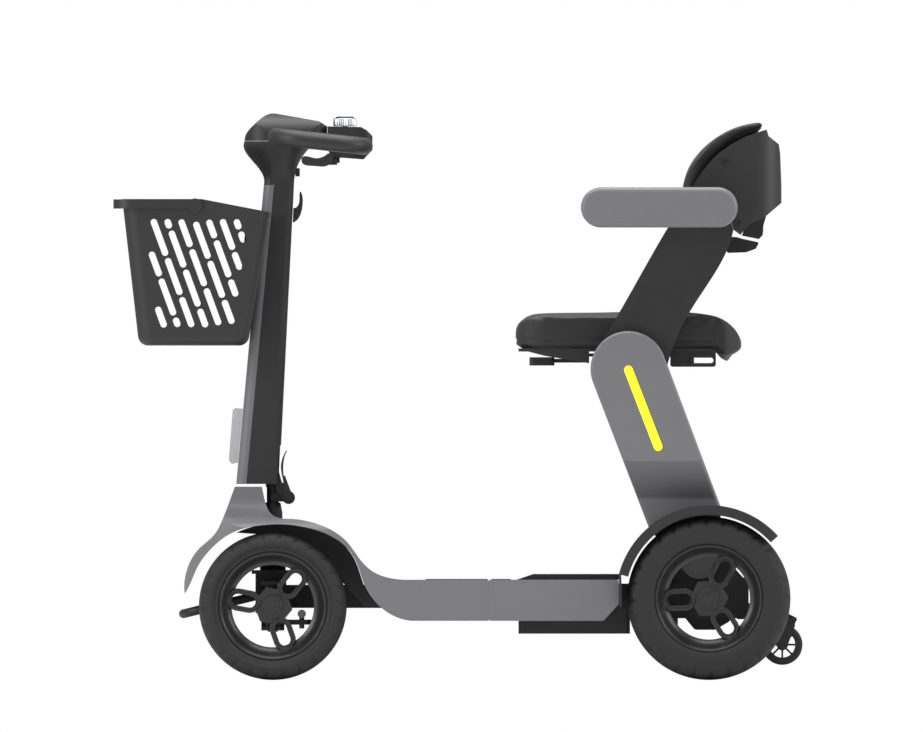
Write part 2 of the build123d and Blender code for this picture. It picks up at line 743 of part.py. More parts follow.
# The basket's tapered volume, smaller by inset on every side.
def basket_volume(inset, low_z, high_z, bottom_radius):
    with BuildPart() as volume:
        for z in (low_z, high_z):
            up = (z - basket_bottom_z) / 208
            front = -496 - 24 * up + inset
            rear = -327 + 35 * up - inset
            half = basket_half_width + 25 * up - inset
            with BuildSketch(Plane.XY.offset(z)):
                with Locations(((front + rear) / 2, 0)):
                    RectangleRounded(rear - front, 2 * half, 22 - inset)
        loft()
        fillet(volume.edges().group_by(Axis.Z)[0], bottom_radius)
    return volume.part


# The space kept free for the column in the basket's rear wall.
def column_channel(growth):
    sides = [(-352 - growth, 500), (-200, 500), (-200, 780), (-326 - growth, 780)]
    return extrude(flat_face(side_plane(channel_half + growth), sides), amount=2 * (channel_half + growth))


# One column of slanted slots, from where its line starts at the top, cut short at the window's two
# slanted sides.
def slot_column(start, phase, left_limit, right_limit):
    slots = []
    for row in range(-1, 4):
        high = row * slot_pitch + phase
        steps = [high + slot_reach * part / 40 for part in range(41)]
        kept = []
        for step in steps:
            across = start + step * math.sin(slot_tilt)
            z = slot_top_z - step * math.cos(slot_tilt)
            if slot_bottom_z <= z <= slot_top_z and left_limit(z) <= across <= right_limit(z):
                kept.append((across, z))
        if len(kept) > 4:
            slots.append((kept[0], kept[-1]))
    return slots


# The end points of every slot in a wall's window, for columns numbered from first to last.
def slot_field(start, first, last, left_limit, right_limit):
    slots = []
    for column in range(first, last + 1):
        phase = (column // 2) * sum(slot_drops) + (column % 2) * slot_drops[0]
        phase = phase % slot_pitch
        slots += slot_column(start + column * slot_column_step, phase, left_limit, right_limit)
    return slots


side_slots = slot_field(-473, -3, 7, lambda z: -482 + (712 - z) * 0.116, lambda z: -333 - (690 - z) * 0.147)
front_slots = slot_field(-75, -6, 14, lambda z: -88 + (712 - z) * 0.12, lambda z: 88 - (712 - z) * 0.12)

with BuildPart() as basket_hollow:
    add(basket_volume(basket_wall, basket_bottom_z + basket_wall, 760, 13))
    add(column_channel(basket_wall), mode=Mode.SUBTRACT)

with BuildPart() as basket:
    add(basket_volume(0, basket_bottom_z, basket_top_z, 16))
    add(basket_hollow.part, mode=Mode.SUBTRACT)
    add(column_channel(0), mode=Mode.SUBTRACT)
    rim_cut = [(-401, 748.5), (-290, 727), (-270, 727), (-270, 760), (-401, 760)]
    extrude(flat_face(side_plane(170), rim_cut), amount=340, mode=Mode.SUBTRACT)
    with BuildSketch(side_plane(180)):
        for top, bottom in side_slots:
            middle = ((top[0] + bottom[0]) / 2, (top[1] + bottom[1]) / 2, 0)
            with Locations(Location(middle, (0, 0, 90 + math.degrees(slot_tilt)))):
                SlotCenterToCenter(math.dist(top, bottom), slot_width)
    extrude(amount=360, mode=Mode.SUBTRACT)
    with BuildSketch(Plane.YZ.offset(-540)):
        for top, bottom in front_slots:
            middle = ((top[0] + bottom[0]) / 2, (top[1] + bottom[1]) / 2, 0)
            with Locations(Location(middle, (0, 0, 90 + math.degrees(slot_tilt)))):
                SlotCenterToCenter(math.dist(top, bottom), slot_width)
    extrude(amount=90, mode=Mode.SUBTRACT)
basket.part.label = "basket"
export_step(basket.part, "parts/basket.step")

with BuildPart() as basket_handle:
    with BuildSketch(Plane.XY.offset(733)):
        with Locations((-436.5, 0)):
            RectangleRounded(199, 2 * 157.4, 28)
        with Locations((-439, 0)):
            RectangleRounded(176, 2 * 153.6, 25, mode=Mode.SUBTRACT)
        with Locations((-367, 0)):
            Rectangle(80, 340, mode=Mode.SUBTRACT)
    extrude(amount=14.5)
    with Locations(Location((-409, 0, 738), (90, 0, 0))):
        Cylinder(11, 2 * 157.4)
        Cylinder(11.1, 2 * 153.6, mode=Mode.SUBTRACT)
basket_handle.part.label = "basket_handle"
export_step(basket_handle.part, "parts/basket_handle.step")

with BuildPart() as basket_bracket:
    bracket_side = [(-322.5, 560), (-306.6, 730), (-329, 730), (-329, 722), (-331, 700), (-344, 560)]
    extrude(flat_face(side_plane(24), bracket_side), amount=48)
basket_bracket.part.label = "basket_bracket"
export_step(basket_bracket.part, "parts/basket_bracket.step")

# ---------------------------------------------------------------- tower
lean = math.radians(21.1)
with BuildPart() as tower_arms:
    with BuildSketch(side_plane(-130)):
        with Locations((seat_pivot_x, seat_pivot_z)):
            Circle(grey_arm_radius)
        with BuildLine():
            Polyline(
                (seat_pivot_x - grey_arm_radius * math.cos(lean),
                seat_pivot_z - grey_arm_radius * math.sin(lean)),
                (seat_pivot_x + grey_arm_radius * math.cos(lean),
                seat_pivot_z + grey_arm_radius * math.sin(lean)),
                (409, 268), (405, 185), (349, 172), (297, 236), close=True,
            )
        make_face()
        with Locations((tower_pivot_x, tower_pivot_z)):
            Circle(30)
    extrude(amount=120)
    bend = [
        (-grey_arm_outer_y, 560), (-grey_arm_outer_y, 342), (-low_arm_outer_y, 283), (-low_arm_outer_y, 150),
        (-low_arm_inner_y, 150), (-low_arm_inner_y, 292), (-grey_arm_inner_y, 351), (-grey_arm_inner_y, 560),
    ]
    with BuildSketch(Plane.YZ.offset(180)):
        with BuildLine():
            FilletPolyline(*bend, radius=8, close=True)
        make_face()
    extrude(amount=260, mode=Mode.INTERSECT)
    fillet(tower_arms.faces().sort_by(Axis.Y)[0].edges(), 5)
    with BuildSketch(side_plane(-grey_arm_outer_y + 1.5)):
        with Locations(Location((288, 422.5, 0), (0, 0, -68.9))):
            SlotOverall(142, 14)
    extrude(amount=4, mode=Mode.SUBTRACT)
    mirror(about=Plane.XZ)
tower_arms.part.label = "tower_arms"
export_step(tower_arms.part, "parts/tower_arms.step")

with BuildPart() as tower_light_strips:
    with BuildSketch(side_plane(-grey_arm_outer_y + 1.5)):
        with Locations(Location((288, 422.5, 0), (0, 0, -68.9))):
            SlotOverall(141.6, 13.6)
    extrude(amount=2)
    mirror(about=Plane.XZ)
tower_light_strips.part.label = "tower_light_strips"
export_step(tower_light_strips.part, "parts/tower_light_strips.step")

with BuildPart() as tower_cross_tubes:
    with Locations(Location((seat_pivot_x, 0, seat_pivot_z), (90, 0, 0))):
        Cylinder(seat_tube_radius, 2 * grey_arm_inner_y)
        Cylinder(seat_tube_radius - 3, 2 * grey_arm_inner_y, mode=Mode.SUBTRACT)
    with Locations(Location((tower_pivot_x, 0, tower_pivot_z), (90, 0, 0))):
        Cylinder(base_tube_radius, 2 * low_arm_inner_y)
        Cylinder(base_tube_radius - 3, 2 * low_arm_inner_y, mode=Mode.SUBTRACT)
tower_cross_tubes.part.label = "tower_cross_tubes"
export_step(tower_cross_tubes.part, "parts/tower_cross_tubes.step")

# ---------------------------------------------------------------- seat
slider_pin_x = 362.2
slider_pin_z = 497.0
with BuildPart() as seat_carrier:
    with Locations((seat_pivot_x, 0, 486)):
        Box(60, 200, 42)
    with Locations((260, -95, 505.4), (260, 95, 505.4)):
        Box(220, 24, 5)
    for side in (-1, 1):
        with Locations((355, side * 95, 497)):
            Box(24, 12, 12)
    with Locations(Location((slider_pin_x, 0, slider_pin_z), (90, 0, 0))):
        Cylinder(3.8, 2 * 159)
    with Locations(Location((seat_pivot_x, 0, seat_pivot_z), (90, 0, 0))):
        Cylinder(seat_tube_radius + running_gap, 240, mode=Mode.SUBTRACT)
seat_carrier.part.label = "seat_carrier"
export_step(seat_carrier.part, "parts/seat_carrier.step")

with BuildPart() as seat_pan:
    with Locations((244, 0, 513.2)):
        Box(300, 330, 5)
    for side in (-1, 1):
        front_skirt = [(92, 515), (135, 504), (204, 492.5), (204, 515)]
        extrude(flat_face(side_plane(side * 162 + 3), front_skirt), amount=6)
        with BuildSketch(side_plane(side * 155 + 3)):
            with BuildLine():
                FilletPolyline((330, 487), (330, 515), (401, 515), (401, 487), radius=4, close=True)
            make_face()
            with Locations((377.4, slider_pin_z)):
                SlotOverall(39.4, 8.2, mode=Mode.SUBTRACT)
        extrude(amount=6)
        with Locations((196, side * 34, 503)):
            Box(12, 6, 16)
    with Locations(Location((196, 0, 499), (90, 0, 0))):
        Cylinder(3 + running_gap, 90, mode=Mode.SUBTRACT)
seat_pan.part.label = "seat_pan"
export_step(seat_pan.part, "parts/seat_pan.step")

seat_top = [
    (84, 520), (84, 539), (87, 552), (99, 560), (135, 565.5), (220, 566.5), (357, 567), (385, 564),
    (413, 557),
    (429, 547), (442, 532), (446, 516), (444, 508),
]
with BuildPart() as seat_cushion:
    with BuildSketch(side_plane(seat_half_width)):
        with BuildLine():
            top = Spline(*seat_top)
            Polyline(top @ 1, (424, 498.5), (412, 503), (402, 515.8), (88, 515.8), top @ 0)
        make_face()
    extrude(amount=2 * seat_half_width)
    with BuildSketch(Plane.XY.offset(490)):
        with Locations((265, 0)):
            RectangleRounded(362.5, 2 * seat_half_width, 46)
    extrude(amount=90, mode=Mode.INTERSECT)
seat_cushion.part.label = "seat_cushion"
export_step(seat_cushion.part, "parts/seat_cushion.step")

with BuildPart() as seat_slide_lever:
    with Locations((130.5, 0, 495.5)):
        Box(39, 90, 13)
    fillet(seat_slide_lever.edges().filter_by(Axis.Z), 6)
    for side in (-1, 1):
        with Locations((172, side * 26, 496.5)):
            Box(60, 8, 6)
    with Locations(Location((196, 0, 499), (90, 0, 0))):
        Cylinder(3, 80)
seat_slide_lever.part.label = "seat_slide_lever"
export_step(seat_slide_lever.part, "parts/seat_slide_lever.step")

# ---------------------------------------------------------------- backrest
with BuildPart() as backrest_arms:
    with BuildSketch(side_plane(-black_arm_inner_y)):
        with BuildLine():
            arm_front = Spline((221, 522), (262, 591), (326, 703), (356, 752), (374, 782), (405.2, 819))
            arm_rear = Spline((428.4, 700), (411, 653), (372, 591), (349, 552), (333, 514), (321, 470))
            Polyline(arm_front @ 1, (405.2, 769), arm_rear @ 0)
            ThreePointArc(arm_rear @ 1, (265, 427.6), arm_front @ 0)
        make_face()
    extrude(amount=black_arm_outer_y - black_arm_inner_y)
    with Locations(Location((seat_pivot_x, -200, seat_pivot_z), (90, 0, 0))):
        Cylinder(seat_tube_radius + running_gap, 30, mode=Mode.SUBTRACT)
    with Locations(Location((armrest_pivot_x, -206, armrest_pivot_z), (90, 0, 0))):
        Cylinder(10 + running_gap, 12.2, mode=Mode.SUBTRACT)
    mirror(about=Plane.XZ)
backrest_arms.part.label = "backrest_arms"
export_step(backrest_arms.part, "parts/backrest_arms.step")

shell_side = [
    (405.2, 819.3), (423, 832), (445, 844), (468, 852.5), (480, 856), (483, 846), (499, 833), (501, 819),
    (503, 769),
    (503, 742), (475, 718), (454, 709), (439, 692), (428.5, 700), (405.2, 769),
]
with BuildPart() as backrest_shell:
    extrude(flat_face(side_plane(black_arm_outer_y), shell_side), amount=2 * black_arm_outer_y)
    with BuildSketch(Plane.XY.offset(600)):
        with Locations((353.2, 0)):
            RectangleRounded(300, 2 * black_arm_outer_y, 42)
    extrude(amount=300, mode=Mode.INTERSECT)
    hollow_side = [(400, 770), (400, 812), (423, 824), (445, 836), (470, 846), (477, 843), (489, 829),
        (491, 769),
                   (491, 745), (472, 726), (450, 715), (430, 715)]
    extrude(flat_face(side_plane(170), hollow_side), amount=340, mode=Mode.SUBTRACT)
    pad_space = [(390, 660), (390, 856), (405.4, 830), (447, 700), (439, 660)]
    extrude(flat_face(side_plane(187.6), pad_space), amount=375.2, mode=Mode.SUBTRACT)
    neck_side = [(441, 691), (468, 685.5), (474, 692), (475, 707), (480, 724), (452, 716)]
    extrude(flat_face(side_plane(45), neck_side), amount=90)
backrest_shell.part.label = "backrest_shell"
export_step(backrest_shell.part, "parts/backrest_shell.step")

with BuildPart() as backrest_pad:
    with BuildSketch(side_plane(184)):
        with BuildLine():
            pad_face = Spline((352, 652), (348.5, 700), (349, 735), (352.5, 767), (361.5, 796),
                (375.5, 817), (399, 838.5),
                              (429, 855.5), (463, 864.5), (476, 864), (480.5, 857.5))
            pad_back = Spline((468.5, 853.5), (439, 842.5), (406, 820), (380, 791), (368, 767),
                (364, 735), (365, 700),
                              (370, 652))
            Line(pad_face @ 1, pad_back @ 0)
            Line(pad_back @ 1, pad_face @ 0)
        make_face()
    extrude(amount=368)
backrest_pad.part.label = "backrest_pad"
export_step(backrest_pad.part, "parts/backrest_pad.step")

with BuildPart() as release_lever:
    with BuildSketch(side_plane(42)):
        with BuildLine():
            FilletPolyline(
                (418, 664), (418, 689), (433, 689), (441, 686.5), (468.5, 680.5), (463, 670.5), (448, 665),
                radius=2.5, close=True,
            )
        make_face()
    extrude(amount=84)
    with Locations(Location((438, 0, 678), (90, 0, 0))):
        Cylinder(3.5, 87)
release_lever.part.label = "release_lever"
export_step(release_lever.part, "parts/release_lever.step")

with BuildPart() as backrest_screws:
    for x, z in ((415, 807), (436, 712)):
        with Locations(Location((x, -black_arm_outer_y - 1, z), (90, 0, 0))):
            Cylinder(5.5, 2)
            Cylinder(2.5, 2, mode=Mode.SUBTRACT)
    mirror(about=Plane.XZ)
backrest_screws.part.label = "backrest_screws"
export_step(backrest_screws.part, "parts/backrest_screws.step")

with BuildPart() as armrest_left:
    with BuildSketch(side_plane(-armrest_inner_y)):
        with Locations(((armrest_front_x + armrest_pivot_x) / 2, armrest_pivot_z)):
            SlotCenterToCenter(armrest_pivot_x - armrest_front_x, 2 * armrest_radius)
    extrude(amount=armrest_outer_y - armrest_inner_y)
    fillet(armrest_left.edges(), 8)
    with Locations(Location((armrest_pivot_x, -230, armrest_pivot_z), (90, 0, 0))):
        Cylinder(10, 59.6)
armrest_left.part.label = "armrest_left"
export_step(armrest_left.part, "parts/armrest_left.step")

with BuildPart() as armrest_right:
    add(mirror(armrest_left.part, about=Plane.XZ))
armrest_right.part.label = "armrest_right"
export_step(armrest_right.part, "parts/armrest_right.step")
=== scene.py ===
import json
import math
import bpy
import bmesh
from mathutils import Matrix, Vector


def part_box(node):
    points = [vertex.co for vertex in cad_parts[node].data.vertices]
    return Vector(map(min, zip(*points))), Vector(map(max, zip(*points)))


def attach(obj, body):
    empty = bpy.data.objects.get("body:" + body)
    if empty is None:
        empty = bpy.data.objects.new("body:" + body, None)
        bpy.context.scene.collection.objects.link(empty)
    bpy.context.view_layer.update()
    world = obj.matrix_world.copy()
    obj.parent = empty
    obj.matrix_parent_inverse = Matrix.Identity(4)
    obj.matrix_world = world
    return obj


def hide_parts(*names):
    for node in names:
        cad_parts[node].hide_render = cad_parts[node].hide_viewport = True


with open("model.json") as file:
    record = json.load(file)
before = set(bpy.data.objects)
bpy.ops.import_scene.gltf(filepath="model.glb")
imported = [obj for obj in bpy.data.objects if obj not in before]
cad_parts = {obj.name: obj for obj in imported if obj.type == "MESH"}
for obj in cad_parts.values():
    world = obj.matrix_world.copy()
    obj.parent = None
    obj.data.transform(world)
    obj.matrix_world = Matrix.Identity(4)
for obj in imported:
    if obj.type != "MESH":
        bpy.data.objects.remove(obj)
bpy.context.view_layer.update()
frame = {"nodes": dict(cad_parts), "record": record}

mm = 0.001
print("frame loaded:", len(frame["nodes"]), "nodes")


# small helpers

def linearColour(hexText):  # sRGB hex to the linear values the shader wants
    parts = [int(hexText[place:place + 2], 16) / 255 for place in (1, 3, 5)]
    linear = [part / 12.92 if part <= 0.04045 else ((part + 0.055) / 1.055) ** 2.4 for part in parts]
    return linear + [1.0]


# one node, with what it is set to and fed by
def addNode(tree, kind, settings=None, inputs=None, links=None):
    node = tree.nodes.new(kind)
    for name, value in (settings or {}).items():
        setattr(node, name, value)
    for name, value in (inputs or {}).items():
        node.inputs[name].default_value = value
    for name, source in (links or {}).items():
        tree.links.new(source, node.inputs[name])
    return node


def startMaterial(name, hexText, roughness, **sockets):
    material = bpy.data.materials.new(name)
    material.use_nodes = True
    tree = material.node_tree
    shader = tree.nodes["Principled BSDF"]
    shader.inputs["Base Color"].default_value = linearColour(hexText)
    shader.inputs["Roughness"].default_value = roughness
    for socket, value in sockets.items():
        shader.inputs[socket.replace("_", " ")].default_value = value
    place = addNode(tree, "ShaderNodeTexCoord").outputs["Object"]
    return material, tree, shader, place


# slow drift of colour and sheen
def mottle(tree, shader, place, hexLow, hexHigh, sizeMm, roughLow, roughHigh):
    noise = addNode(tree, "ShaderNodeTexNoise",
                    inputs={"Scale": 1 / (sizeMm * mm), "Detail": 4.0, "Roughness": 0.6},
                    links={"Vector": place})
    mix = addNode(tree, "ShaderNodeMix", {"data_type": "RGBA"},
                  {"A": linearColour(hexLow), "B": linearColour(hexHigh)}, {"Factor": noise.outputs["Fac"]})
    tree.links.new(mix.outputs["Result"], shader.inputs["Base Color"])
    spread = addNode(tree, "ShaderNodeMapRange", inputs={"To Min": roughLow, "To Max": roughHigh},
                     links={"Value": noise.outputs["Fac"]})
    tree.links.new(spread.outputs["Result"], shader.inputs["Roughness"])
    return noise


def bumpFrom(tree, shader, height, heightMm, strength):
    bump = addNode(tree, "ShaderNodeBump", inputs={"Strength": strength, "Distance": heightMm * mm},
                   links={"Height": height})
    tree.links.new(bump.outputs["Normal"], shader.inputs["Normal"])
    return bump


# materials, each named for what it is and how its surface was made

# moulded ABS under satin paint: even colour, broad soft highlight, faint orange peel
def makeSatinPaintedAbs():
    material, tree, shader, place = startMaterial("satinPaintedAbs", "#747476", 0.42, IOR=1.46)
    mottle(tree, shader, place, "#727274", "#77777A", 60, 0.38, 0.46)
    peel = addNode(tree, "ShaderNodeTexNoise",
                   inputs={"Scale": 1 / (2.4 * mm), "Detail": 2.0}, links={"Vector": place})
    bumpFrom(tree, shader, peel.outputs["Fac"], 0.03, 0.35)
    return material


# black ABS from a spark-eroded mould: fine even grain, drawn at 0.9 mm so that it shows
def makeGrainedAbs():
    material, tree, shader, place = startMaterial("grainedAbs", "#222223", 0.5, IOR=1.53)
    mottle(tree, shader, place, "#1F1F20", "#262627", 45, 0.44, 0.56)
    grain = addNode(tree, "ShaderNodeTexNoise",
                    inputs={"Scale": 1 / (0.9 * mm), "Detail": 3.0, "Roughness": 0.7},
                    links={"Vector": place})
    bumpFrom(tree, shader, grain.outputs["Fac"], 0.05, 0.45)
    return material


def makePowderCoatedSteel():  # welded steel under black powder coat: pebbly skin with a soft shine
    material, tree, shader, place = startMaterial("powderCoatedSteel", "#1B1B1C", 0.45, IOR=1.5)
    mottle(tree, shader, place, "#181819", "#202021", 30, 0.4, 0.55)
    pebble = addNode(tree, "ShaderNodeTexVoronoi", inputs={"Scale": 1 / (1.3 * mm)}, links={"Vector": place})
    bumpFrom(tree, shader, pebble.outputs["Distance"], 0.06, 0.4)
    return material


def makeTyreRubber():  # moulded solid rubber: matt, a little dusty, lighter where it has rubbed
    material, tree, shader, place = startMaterial("tyreRubber", "#202020", 0.72, IOR=1.52)
    mottle(tree, shader, place, "#1A1A1A", "#282827", 26, 0.62, 0.82)
    fine = addNode(tree, "ShaderNodeTexNoise",
                   inputs={"Scale": 1 / (1.1 * mm), "Detail": 5.0}, links={"Vector": place})
    bumpFrom(tree, shader, fine.outputs["Fac"], 0.08, 0.35)
    return material


# die-cast rim under semi-gloss black paint: faint casting ripple below a clear skin
def makePaintedCastAlloy():
    material, tree, shader, place = startMaterial("paintedCastAlloy", "#232324", 0.34, IOR=1.5,
                                                  Coat_Weight=0.25, Coat_Roughness=0.25)
    mottle(tree, shader, place, "#1F1F20", "#272728", 22, 0.3, 0.42)
    ripple = addNode(tree, "ShaderNodeTexNoise",
                     inputs={"Scale": 1 / (3.5 * mm), "Detail": 3.0}, links={"Vector": place})
    bumpFrom(tree, shader, ripple.outputs["Fac"], 0.05, 0.3)
    return material


# foam-backed vinyl embossed with leather cells, drawn at 2.2 mm: soft sheen between creases
def makeEmbossedVinyl():
    material, tree, shader, place = startMaterial("embossedVinyl", "#1D1D1E", 0.58, IOR=1.5,
                                                  Sheen_Weight=0.08, Sheen_Roughness=0.5)
    mottle(tree, shader, place, "#1A1A1B", "#222223", 38, 0.52, 0.66)
    warp = addNode(tree, "ShaderNodeTexNoise",
                   inputs={"Scale": 1 / (4 * mm), "Detail": 2.0}, links={"Vector": place})
    bent = addNode(tree, "ShaderNodeVectorMath", {"operation": "MULTIPLY_ADD"}, {1: (0.0016, 0.0016, 0.0016)},
                   {0: warp.outputs["Color"], 2: place})
    cells = addNode(tree, "ShaderNodeTexVoronoi", {"feature": "DISTANCE_TO_EDGE"}, {"Scale": 1 / (2.2 * mm)},
                    {"Vector": bent.outputs["Vector"]})
    crease = addNode(tree, "ShaderNodeMapRange",
                     inputs={"From Max": 0.18}, links={"Value": cells.outputs["Distance"]})
    bumpFrom(tree, shader, crease.outputs["Result"], 0.18, 0.5)
    return material


# yellow diffusing polycarbonate strip with a painted glow: emission makes it look bright; flat bright colour,
# glossy skin
def makeGlowPaintedPolycarbonate():
    # painted glow: a faint emission strength and a yellow emission colour make the strip look brighter than
    # the lamps make it
    material, tree, shader, place = startMaterial("glowPaintedPolycarbonate", "#F4F028", 0.28, IOR=1.58,
                                                  Emission_Strength=0.55)
    shader.inputs["Emission Color"].default_value = linearColour("#FFFB20")
    mottle(tree, shader, place, "#F1ED1E", "#F8F432", 25, 0.22, 0.32)
    return material


def makeFrostedLens():  # silvered polycarbonate lens: pale grey, fluted inside, glossy outside
    material, tree, shader, place = startMaterial("frostedLens", "#BDBDBF", 0.3, IOR=1.58, Coat_Weight=0.4)
    mottle(tree, shader, place, "#B4B4B7", "#C6C6C8", 18, 0.24, 0.36)
    return material


def makeChromedZinc():  # plated zinc: mirror with small cast waves, keeps the default IOR as a metal
    material, tree, shader, place = startMaterial("chromedZinc", "#C9CACC", 0.14, Metallic=1.0)
    mottle(tree, shader, place, "#C2C3C5", "#D0D1D3", 8, 0.1, 0.2)
    return material


def makeTurnedSteel():  # zinc-plated turned steel: dull grey metal with fine rings
    material, tree, shader, place = startMaterial("turnedSteel", "#6E6F72", 0.38, Metallic=1.0)
    mottle(tree, shader, place, "#636467", "#77787B", 12, 0.3, 0.46)
    return material


def makeBlackCastAlloy():  # sand-cast gear housing, painted thin black: rough grainy skin
    material, tree, shader, place = startMaterial("blackCastAlloy", "#262627", 0.6, IOR=1.5)
    mottle(tree, shader, place, "#202021", "#2E2E2F", 9, 0.5, 0.7)
    sand = addNode(tree, "ShaderNodeTexNoise",
                   inputs={"Scale": 1 / (1.5 * mm), "Detail": 5.0}, links={"Vector": place})
    bumpFrom(tree, shader, sand.outputs["Fac"], 0.12, 0.5)
    return material


def makeRibbedRubber():  # extruded rubber mat: straight ribs every 4 mm across the deck
    material, tree, shader, place = startMaterial("ribbedRubber", "#1C1C1C", 0.8, IOR=1.52)
    mottle(tree, shader, place, "#181818", "#232322", 20, 0.72, 0.88)
    ribs = addNode(tree, "ShaderNodeTexWave", {"wave_type": "BANDS", "bands_direction": "X"},
                   {"Scale": 1 / (4 * mm) / 3.183, "Distortion": 0.0}, {"Vector": place})
    bumpFrom(tree, shader, ribs.outputs["Fac"], 0.5, 0.6)
    return material


def makeShrinkWrap():  # heat-shrunk PVC around the battery cells: dark blue-grey, slightly rippled
    material, tree, shader, place = startMaterial("shrinkWrap", "#20262E", 0.35, IOR=1.54)
    mottle(tree, shader, place, "#1C222A", "#252C35", 30, 0.3, 0.42)
    return material


def makeButtonPlastic():  # two-shot moulded button, mid grey with a soft gloss
    material, tree, shader, place = startMaterial("buttonPlastic", "#5A5A5C", 0.35, IOR=1.5)
    mottle(tree, shader, place, "#565658", "#606062", 6, 0.3, 0.4)
    return material


finish = {
    "grey_plastic": makeSatinPaintedAbs(),
    "black_plastic": makeGrainedAbs(),
    "black_frame": makePowderCoatedSteel(),
    "tyre": makeTyreRubber(),
    "rim_black": makePaintedCastAlloy(),
    "seat_vinyl": makeEmbossedVinyl(),
    "light_yellow": makeGlowPaintedPolycarbonate(),
    "lamp_silver": makeFrostedLens(),
    "chrome": makeChromedZinc(),
    "steel": makeTurnedSteel(),
    "cast_alloy": makeBlackCastAlloy(),
    "rubber_black": makeRibbedRubber(),
    "battery_blue": makeShrinkWrap(),
    "button_grey": makeButtonPlastic(),
}
print("materials made:", len(finish))

# carried-over nodes: each gets its finish, welded corners and small moulded edge radii
edgeWork = {"weldMm": 0.02, "segments": 3, "angleDeg": 38, "plainRadiusMm": 0.5}
edgeRadiusMm = {
    "front_cover": 2.0, "rear_deck_cover": 2.0, "battery_cover": 1.2, "battery_tray": 1.5, "tower_arms": 2.0,
    "backrest_arms": 3.0, "backrest_shell": 4.0, "control_pod": 5.0, "head_upper_shell": 3.0,
    "head_lower_shell": 3.0,
    "basket": 0.8, "basket_handle": 2.0, "transaxle": 2.0, "throttle_lever": 1.5, "release_lever": 1.5,
    "tiller_column": 0.8, "tiller_front_trim": 0.8, "front_rim_left": 1.0, "front_rim_right": 1.0,
    "rear_rim_left": 1.0, "rear_rim_right": 1.0, "hinge_block": 1.2, "steering_stem": 0.8,
    "chassis_frame": 1.0,
}
for row in frame["record"]["subparts"]:
    node = frame["nodes"][row["node"]]
    node.data.materials.clear()
    node.data.materials.append(finish[row["material_slot"]])
    weld = node.modifiers.new("weld", "WELD")
    weld.merge_threshold = edgeWork["weldMm"] * mm
    bevel = node.modifiers.new("edgeRadius", "BEVEL")
    bevel.width = edgeRadiusMm.get(row["node"], edgeWork["plainRadiusMm"]) * mm
    bevel.segments = edgeWork["segments"]
    bevel.limit_method = "ANGLE"
    bevel.angle_limit = math.radians(edgeWork["angleDeg"])
    bevel.harden_normals = False
    smooth = node.modifiers.new("weighted", "WEIGHTED_NORMAL")
    smooth.keep_sharp = True
    for face in node.data.polygons:
        face.use_smooth = True
print("carried-over nodes finished")

# building helpers

# a bmesh becomes a named object that rides on a body
def addPiece(name, form, material, body, smooth=True):
    mesh = bpy.data.meshes.new(name)
    form.to_mesh(mesh)
    form.free()
    piece = bpy.data.objects.new(name, mesh)
    bpy.context.collection.objects.link(piece)
    mesh.materials.append(material)
    for face in mesh.polygons:
        face.use_smooth = smooth
    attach(piece, body)
    return piece


def sweepRing(form, path, ring, closed=False):  # rings of points joined into a skin, with both ends capped
    rows = [[form.verts.new(point) for point in ring(place, index)] for index, place in enumerate(path)]
    spans = list(zip(rows, rows[1:])) + ([(rows[-1], rows[0])] if closed else [])
    for before, after in spans:
        count = len(before)
        for step in range(count):
            form.faces.new((before[step], before[(step + 1) % count], after[(step + 1) % count], after[step]))
    if not closed:
        form.faces.new(rows[0][::-1])
        form.faces.new(rows[-1])
    bmesh.ops.recalc_face_normals(form, faces=form.faces)
    return rows


def tubeAlong(form, points, radius, sides=12, closed=False):  # a round cord or rail along a list of points
    points = [Vector(point) for point in points]

    def ring(place, index):
        before = points[index - 1] if closed or index else points[0]
        after = points[(index + 1) % len(points)] if closed or index + 1 < len(points) else points[-1]
        along = (after - before).normalized()
        side = along.cross(Vector((0, 0, 1)) if abs(along.z) < 0.9 else Vector((1, 0, 0))).normalized()
        up = side.cross(along)
        turns = [step * math.tau / sides for step in range(sides)]
        return [place + radius * (math.cos(turn) * side + math.sin(turn) * up) for turn in turns]

    return sweepRing(form, points, ring, closed)


def copyNode(nodeName):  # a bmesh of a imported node, welded
    form = bmesh.new()
    form.from_mesh(frame["nodes"][nodeName].data)
    bmesh.ops.remove_doubles(form, verts=form.verts, dist=edgeWork["weldMm"] * mm)
    return form


# seat cushion and backrest pad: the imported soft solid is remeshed, blown up a little as foam would push the
# vinyl out, then its seams are pressed in
cushions = {
    "seatCushion": {"node": "seat_cushion", "body": "seat", "voxelMm": 5.0, "shrinkMm": 1.0, "capMm": 6.0,
                    "pressure": 4.0},
    "backrestPad": {"node": "backrest_pad", "body": "backrest", "voxelMm": 5.0, "shrinkMm": 1.0, "capMm": 4.0,
                    "pressure": 4.0},
}

foam = {"smoothings": 2, "quality": 5, "tension": 25, "frames": 20}
seams = {
    "seatDepthMm": 1.6, "seatWidthMm": 5.0, "seatHeight": 0.528, "seatRearLimit": 0.40,
    "padDepthMm": 2.2, "padWidthMm": 6.0, "padShare": 0.62,
}


